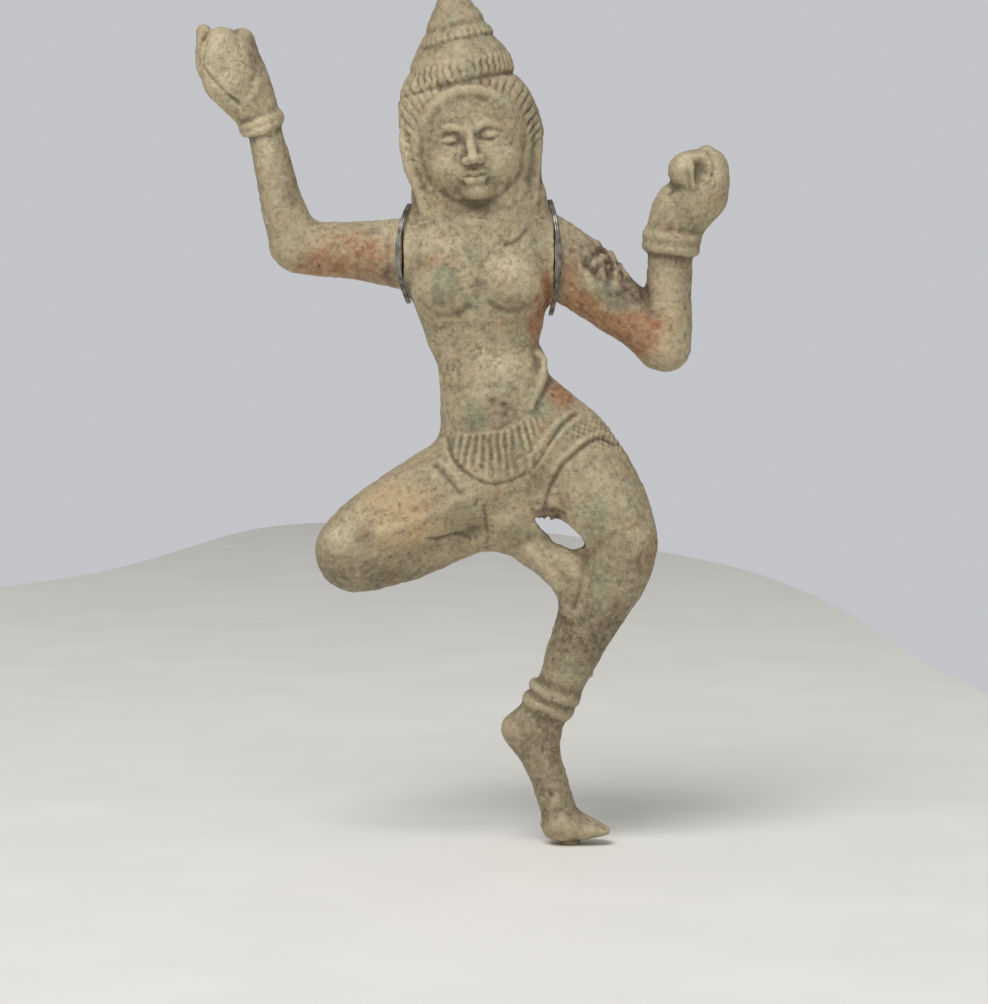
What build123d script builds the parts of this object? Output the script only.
"""Cast bronze dancing figure with two separately cast arms, held on with binding wire.

Units are millimetres. +Z is up and the figure faces -Y. The origin is the flat sole of the stub under
the ball of the standing foot, so the figure stands on Z = 0. "left" and "right" are the figure's own.
"""

from build123d import *
from math import cos, pi, radians, sin
import os

# Driving dimensions
HEIGHT = 240.0  # sole to crown tip
U = HEIGHT / 240.0  # every place and radius below is given for a 240 mm figure and scales with it
TENON_RADIUS = 4.0 * U
TENON_LENGTH = 6.0 * U
TENON_CLEARANCE = 0.05 * U  # radial, so that the arm can rock in its socket
SOCKET_SPARE = 0.5 * U  # left free beyond the tenon's end
SEAM_GAP = 0.3 * U  # between an arm's root face and the shoulder it butts against
ROD_SIDE = 2.6 * U  # square iron rod that carries the core
PIN_SIDE = 1.6 * U  # square pins that hold the core off the mould
STUB_RADIUS = 2.8 * U
STUB_HEIGHT = 1.4 * U

# Shoulder seats: centre, then half height and half depth of the flat face
RIGHT_SEAT = (-46.0 * U, 2.0 * U, 163.4 * U)
RIGHT_SEAT_SIZE = (10.2 * U, 8.2 * U)
LEFT_SEAT = (-4.9 * U, 2.0 * U, 162.3 * U)
LEFT_SEAT_SIZE = (12.2 * U, 8.6 * U)
SEAT_DEPTH = 9.0 * U  # how far the flat-faced boss reaches into the shoulder

# Head: a face on plain proportions, two thirds as wide as the dressed hair at its widest
HEAD_TILT = 7.0  # degrees, towards the figure's right
HAIR_CENTRE = (-27.2, -1.0, 192.4)
HAIR_HALF_WIDTH = 19.8
FACE_HALF_WIDTH = HAIR_HALF_WIDTH * 2 / 3
FACE_HALF_HEIGHT = 1.1 * FACE_HALF_WIDTH
FACE_FORWARD = 5.6  # from the hair's axis to the face's

# Binding wires
WIRE_RADIUS = 0.4 * U
WIRE_PITCH = 1.0 * U  # between the two turns of one wire
WIRE_OFFSET = 0.9 * U  # from the seat out to the first turn
WIRE_STEPS = 16  # points in one turn
TAIL_POINTS = 9  # points along the twisted tail
TAIL_TWIST = 60.0  # degrees from one of them to the next
STRAND_GAP = 0.12 * U  # between the tail's two strands


def point(x, y, z):
    """A place on the 240 mm figure, at the modelled size."""
    return Vector(x * U, y * U, z * U)


def tube(stations):
    """A limb lofted through ellipses. Each station is (centre, half width in the XZ plane, half depth)."""
    centres = [point(*centre) for centre, _, _ in stations]
    rings = []
    for i, (_, wide, deep) in enumerate(stations):
        before = centres[max(i - 1, 0)]
        after = centres[min(i + 1, len(centres) - 1)]
        along = (after - before).normalized()
        across = along.cross(Vector(0, 1, 0)).normalized()
        rings.append(Plane(centres[i], x_dir=across, z_dir=along) * Ellipse(wide * U, deep * U))
    return loft(rings)


def slices(stations):
    """A trunk lofted through level ellipses. Each station is (z, x, y, half width, half depth)."""
    return loft([Plane(point(x, y, z)) * Ellipse(a * U, b * U) for z, x, y, a, b in stations])


def ball(x, y, z, radius):
    return Pos(point(x, y, z)) * Sphere(radius * U)


def egg(x, y, z, half_width, half_height):
    """An egg standing on end: half an ellipse revolved about Z."""
    right_half = Pos(half_width * U, 0) * Rectangle(2 * half_width * U, 2 * half_height * U)
    half = Plane.XZ * (Ellipse(half_width * U, half_height * U) & right_half)
    return Pos(point(x, y, z)) * revolve(half, Axis.Z)


def band(x, y, z, tilt, radius, thickness, height):
    """A ring round a limb: a torus-like band, tilted in the XZ plane by tilt degrees."""
    profile = Plane.XZ * Pos(radius * U, 0) * Ellipse(thickness * U, height * U)
    return Pos(point(x, y, z)) * Rot(0, tilt, 0) * revolve(profile, Axis.Z)


# ---- trunk and head ----

TRUNK = [
    # z, x, y, half width, half depth
    (92, -12.0, 0, 7.0, 6.0),
    (96, -12.5, 0, 12.5, 8.6),
    (104, -13.5, 0, 18.5, 11.2),
    (112, -14.5, 0, 20.6, 12.0),
    (120, -16.9, 0.5, 18.8, 11.5),
    (128, -20.4, 0.5, 16.0, 10.5),
    (137, -23.5, 0.5, 14.9, 10.2),
    (146, -24.6, 0.5, 17.6, 11.2),
    (155, -25.0, 0.5, 19.4, 12.2),
    (164, -25.2, 0.5, 19.8, 12.2),
    (173, -25.0, 0.5, 18.6, 11.2),
    (180, -25.4, 0.0, 16.8, 12.0),
    (188, -26.6, -1.0, 18.4, 15.5),
    (197, -27.6, -1.0, 19.8, 17.2),
    (204, -28.2, -1.0, 19.0, 17.2),
    (210, -28.7, -1.0, 16.6, 15.6),
    (214.5, -29.2, -1.0, 13.6, 13.2),
    (218, -29.6, -1.0, 9.5, 9.5),
]

# The cavity follows the trunk, one wall inside it, and is narrower between the two sockets.
CORE = [
    (110, -15.5, 0.5, 11.0, 7.5),
    (120, -17.5, 0.5, 12.0, 8.0),
    (128, -20.4, 0.5, 12.0, 7.2),
    (137, -23.5, 0.5, 11.4, 6.8),
    (150, -24.8, 0.5, 12.2, 7.8),
    (164, -25.2, 0.5, 11.8, 8.2),
    (176, -25.2, 0.5, 12.0, 7.8),
    (188, -26.6, -1.0, 14.2, 11.6),
    (197, -27.6, -1.0, 15.8, 13.4),
    (205, -28.4, -1.0, 13.6, 12.2),
]


def crown():
    """The tiered chignon: three stacked tiers and a cone, turned about the head's tilted axis."""
    outline = [
        (0, 0), (15.2, 0), (15.6, 2.0), (14.2, 5.0), (13.4, 5.6), (13.6, 8.0), (12.0, 11.5),
        (10.4, 12.4), (10.2, 14.6), (8.6, 17.4), (7.4, 18.0), (6.2, 21.8), (3.4, 27.7), (1.6, 30.6), (0, 31.2),
    ]
    profile = Plane.XZ * make_face(Polyline(*[(r * U, h * U) for r, h in outline], close=True))
    return Pos(point(-29.8, -1.0, 208.6)) * Rot(0, -HEAD_TILT, 0) * revolve(profile, Axis.Z)


def head():
    """Face mass and the two long ears. The hair is part of the trunk's loft."""
    x, y, z = HAIR_CENTRE
    face = egg(x, y - FACE_FORWARD, z, FACE_HALF_WIDTH, FACE_HALF_HEIGHT)
    right_ear = egg(-44.4, 1.0, 190.5, 2.6, 9.0)
    left_ear = egg(-8.6, 1.0, 192.5, 2.6, 9.0)
    return face + right_ear + left_ear


def seat(place, size, inward):
    """The flat-faced boss on the shoulder that an arm butts against."""
    half_height, half_depth = size
    plane = Plane(place, x_dir=(0, 0, 1), z_dir=(inward, 0, 0))
    return extrude(plane * Ellipse(half_height, half_depth), SEAT_DEPTH)


def socket(place, inward):
    """The round blind hole in a seat that takes an arm's tenon."""
    plane = Plane(place, z_dir=(inward, 0, 0))
    return extrude(plane * Circle(TENON_RADIUS + TENON_CLEARANCE), TENON_LENGTH + SOCKET_SPARE)


# ---- legs ----


def standing_leg():
    """The figure's left leg, bent outward at the knee and standing on the ball of the foot."""
    thigh_and_shin = tube([
        ((-9.0, 0, 122), 7.5, 8.0),
        ((-3.6, -0.4, 115), 12.8, 11.0),
        ((1.2, -1, 107), 14.0, 11.8),
        ((6.2, -2.4, 98), 12.8, 11.6),
        ((11.2, -4, 89.5), 11.2, 10.6),
        ((13.4, -5, 81.0), 10.2, 9.9),
        ((12.2, -4.8, 73), 9.6, 9.2),
        ((8.0, -3.6, 63), 8.8, 8.6),
        ((1.8, -1.6, 51), 7.2, 7.4),
        ((-2.6, -0.6, 44), 6.4, 6.6),
        ((-7.0, 0, 36.5), 6.4, 6.0),
    ])
    foot = slices([
        (38.0, -7.2, 0, 6.0, 5.8),
        (33.0, -10.2, 0, 8.4, 5.6),
        (27.8, -9.4, 0, 7.5, 5.2),
        (22.3, -7.1, 0, 5.8, 4.9),
        (15.4, -4.9, 0, 5.0, 5.4),
        (9.6, -3.0, 0, 5.6, 6.3),
        (4.6, 0.8, 0, 8.6, 6.8),
        (1.4, 0.6, 0, 6.6, 5.4),
    ])
    anklet = band(-5.8, 0, 40.8, -26, 6.2, 1.2, 2.9)
    stub = Cylinder(STUB_RADIUS, STUB_HEIGHT, align=(Align.CENTER, Align.CENTER, Align.MIN))
    return thigh_and_shin + foot + anklet + stub


def raised_leg():
    """The figure's right leg, lifted to the side, folded at the knee, its toes on the other shin."""
    thigh = tube([
        ((-12, 0, 106.5), 9.5, 9.0),
        ((-20, -0.4, 102.5), 12.4, 11.4),
        ((-33, -2, 96.0), 12.0, 11.2),
        ((-47, -4, 90.0), 11.2, 10.6),
        ((-59.5, -5, 82.6), 10.4, 10.2),
    ])
    knee = ball(-59.6, -5.0, 81.8, 10.8)
    calf = tube([
        ((-59, -2, 79.0), 8.4, 8.6),
        ((-48, 0, 79.6), 8.2, 8.6),
        ((-37, 1.5, 82.0), 7.2, 7.6),
        ((-24, 2, 86.2), 5.8, 6.0),
    ])
    foot = tube([
        ((-26.0, 2, 86.6), 5.6, 5.6),
        ((-17.5, 1, 86.0), 5.8, 5.0),
        ((-10.5, -0.5, 81.6), 5.2, 4.4),
        ((-5.2, -2, 75.6), 4.4, 3.8),
        ((-0.4, -3, 68.5), 3.4, 3.2),
        ((5.6, -3.6, 62.5), 2.6, 2.6),
    ])
    anklet = band(-23.8, 1.8, 86.6, 77, 5.8, 1.0, 2.2)
    return thigh + knee + calf + foot + anklet


def garment():
    """The front panel of the short cloth, standing a little proud of the belly."""
    return egg(-13.2, -1.8, 108.0, 11.6, 9.0)


def chest():
    return ball(-34.4, -4.4, 156.6, 9.0) + ball(-15.6, -4.4, 156.6, 9.0)


# ---- core, rod and pins ----


def core_solid():
    return slices(CORE)


def rod_solid():
    """Square iron rod up the middle of the core, its ends caught in the metal above and below."""
    foot_end = point(-13.0, 0.5, 104.5)
    head_end = point(-30.4, -0.5, 217.0)
    along = (head_end - foot_end).normalized()
    plane = Plane(foot_end, x_dir=along.cross(Vector(0, 1, 0)), z_dir=along)
    return extrude(plane * Rectangle(ROD_SIDE, ROD_SIDE), (head_end - foot_end).length)


# Each pin: a place on the core's middle, the way it points (+1 back, -1 front), where it starts and ends
PINS = [
    # x, z, direction, start depth, end depth
    (-17.2, 118, -1, 5.2, 10.2),
    (-17.2, 124, 1, 5.2, 10.4),
    (-24.8, 148, -1, 5.0, 10.3),
    (-24.8, 156, 1, 5.4, 11.4),
    (-25.2, 172, -1, 5.4, 10.4),
    (-27.2, 196, 1, 10.0, 15.2),
]


def pin_solids():
    """Core pins: square, bridging the wall, stopped just under the skin."""
    pins = []
    for x, z, way, start, end in PINS:
        middle = way * (start + end) / 2
        pins.append(Pos(point(x, middle, z)) * Box(PIN_SIDE, (end - start) * U, PIN_SIDE))
    return pins


# ---- arms ----


def arm_root(place, inward, stations):
    """Upper arm from its flat root face, with the tenon that plugs into the shoulder."""
    x, y, z = place
    face = Vector(x - inward * SEAM_GAP, y, z)
    tenon = extrude(Plane(face, z_dir=(inward, 0, 0)) * Circle(TENON_RADIUS), TENON_LENGTH)
    block = 60 * U  # larger than the arm, to cut its root off flat
    trim = Pos(face + Vector(inward * block / 2, 0, 0)) * Box(block, block, block)
    return (tube(stations) - trim) + tenon


def right_arm():
    """The arm on -X: out level from the shoulder, forearm straight up, hand closed."""
    upper = arm_root(RIGHT_SEAT, 1, [
        ((-44.0, 2.0, 163.4), 9.7, 7.6),
        ((-54.0, 2.0, 163.8), 8.3, 7.2),
        ((-65.0, 1.5, 164.4), 7.4, 6.8),
        ((-75.0, 1.0, 165.2), 7.0, 6.4),
    ])
    elbow = ball(-75.4, 1.0, 166.0, 7.0)
    forearm = tube([
        ((-75.6, 1.0, 165.5), 6.9, 6.4),
        ((-78.8, 0.4, 175.5), 6.0, 5.9),
        ((-81.6, -0.8, 186.5), 5.2, 5.3),
        ((-84.8, -2.0, 201.5), 4.8, 4.9),
    ])
    bracelet = band(-84.6, -2.0, 199.2, -18, 5.0, 1.1, 1.3)
    hand = tube([
        ((-84.8, -2.0, 200.5), 5.2, 4.6),
        ((-88.0, -2.5, 206.5), 6.9, 5.8),
        ((-91.6, -3.0, 213.0), 8.6, 7.0),
        ((-93.8, -3.2, 219.0), 8.2, 7.2),
        ((-94.4, -3.2, 222.8), 6.8, 6.0),
        ((-94.8, -3.2, 225.0), 3.8, 3.4),
    ])
    return upper + elbow + forearm + bracelet + hand


def left_arm():
    """The arm on +X: down and out from the shoulder, forearm straight up, hand curled over."""
    upper = arm_root(LEFT_SEAT, -1, [
        ((-9.0, 2.0, 164.8), 11.6, 8.0),
        ((0.5, 2.0, 159.0), 10.4, 8.0),
        ((9.5, 1.6, 152.0), 8.4, 7.5),
        ((22.0, 1.0, 142.5), 7.4, 7.2),
    ])
    elbow = ball(23.8, 1.0, 140.8, 7.6)
    forearm = tube([
        ((24.0, 1.0, 141.0), 7.5, 7.2),
        ((25.4, 0.4, 149.0), 7.0, 6.7),
        ((26.6, -0.6, 157.0), 6.3, 6.1),
        ((27.3, -1.5, 169.0), 6.0, 5.7),
    ])
    bracelet = band(27.3, -1.4, 165.2, 8, 6.2, 1.4, 1.5) + band(27.4, -1.5, 168.0, 8, 6.2, 1.4, 1.5)
    palm = tube([
        ((27.4, -1.5, 168.0), 6.2, 5.8),
        ((30.4, -2.0, 175.0), 7.2, 6.2),
        ((35.6, -2.6, 182.0), 7.4, 6.8),
        ((37.2, -3.0, 188.5), 5.8, 6.2),
        ((33.0, -3.4, 191.2), 2.6, 5.2),
    ])
    fingers = egg(30.4, -3.2, 186.6, 4.4, 5.4)
    return upper + elbow + forearm + bracelet + palm + fingers


# ---- binding wires ----


def wire(seat_place, outward, half_height, half_depth, tuck):
    """One binding wire: two turns round an arm's root and a twisted tail behind the shoulder.

    outward is -1 or +1 along X; tuck is how far the loop's top and bottom fall back towards the neck and armpit.
    """
    x0, y0, z0 = seat_place
    last = 2 * WIRE_STEPS - 2
    loop = []
    for i in range(last + 1):
        angle = 2 * pi * (i + 0.5) / WIRE_STEPS  # from the back, over the top
        across = WIRE_OFFSET + WIRE_PITCH * i / last - tuck * sin(angle) ** 2
        place = (x0 + outward * across, y0 + half_depth * cos(angle), z0 + half_height * sin(angle))
        loop.append(Vector(*place))
    # The two ends leave the back of the loop side by side and twist round each other.
    tail = Vector(x0 + outward * 1.4 * U, y0 + half_depth + 1.2 * U, z0)
    step = Vector(-outward * 0.25 * U, 0.6 * U, -0.65 * U)
    start, end = [], []
    for i in range(TAIL_POINTS):
        angle = radians(TAIL_TWIST) * i
        strand = Vector(cos(angle), 0, sin(angle)) * (WIRE_RADIUS + STRAND_GAP / 2)
        start.append(tail + step * i - strand)
        end.append(tail + step * i + strand)
    return start[::-1] + loop + end


def wire_solid(points):
    line = Spline(*points)
    profile = Plane(line @ 0, z_dir=line % 0) * Circle(WIRE_RADIUS)
    return sweep(profile, path=line)


# ---- assembly ----


def body_casting():
    solid = slices(TRUNK) + crown() + head() + chest() + garment()
    solid = solid + standing_leg() + raised_leg()
    solid = solid + seat(RIGHT_SEAT, RIGHT_SEAT_SIZE, 1) + seat(LEFT_SEAT, LEFT_SEAT_SIZE, -1)
    solid = solid - socket(RIGHT_SEAT, 1) - socket(LEFT_SEAT, -1)
    solid = solid - core_solid() - rod_solid()
    for pin in pin_solids():
        solid = solid - pin
    return solid


def clay_core():
    solid = core_solid() - rod_solid()
    for pin in pin_solids():
        solid = solid - pin
    return solid


def main():
    os.makedirs("parts", exist_ok=True)
    parts = {
        "body_casting": body_casting(),
        "clay_core": clay_core(),
        "armature_rod": rod_solid(),
        "core_pins": Compound(pin_solids()),
        "right_arm": right_arm(),
        "left_arm": left_arm(),
        "right_shoulder_wire": wire_solid(wire(RIGHT_SEAT, -1, 13.4 * U, 9.4 * U, 2.8 * U)),
        "left_shoulder_wire": wire_solid(wire(LEFT_SEAT, 1, 15.6 * U, 9.8 * U, 2.2 * U)),
    }
    for name, solid in parts.items():
        export_step(solid, f"parts/{name}.step")


main()
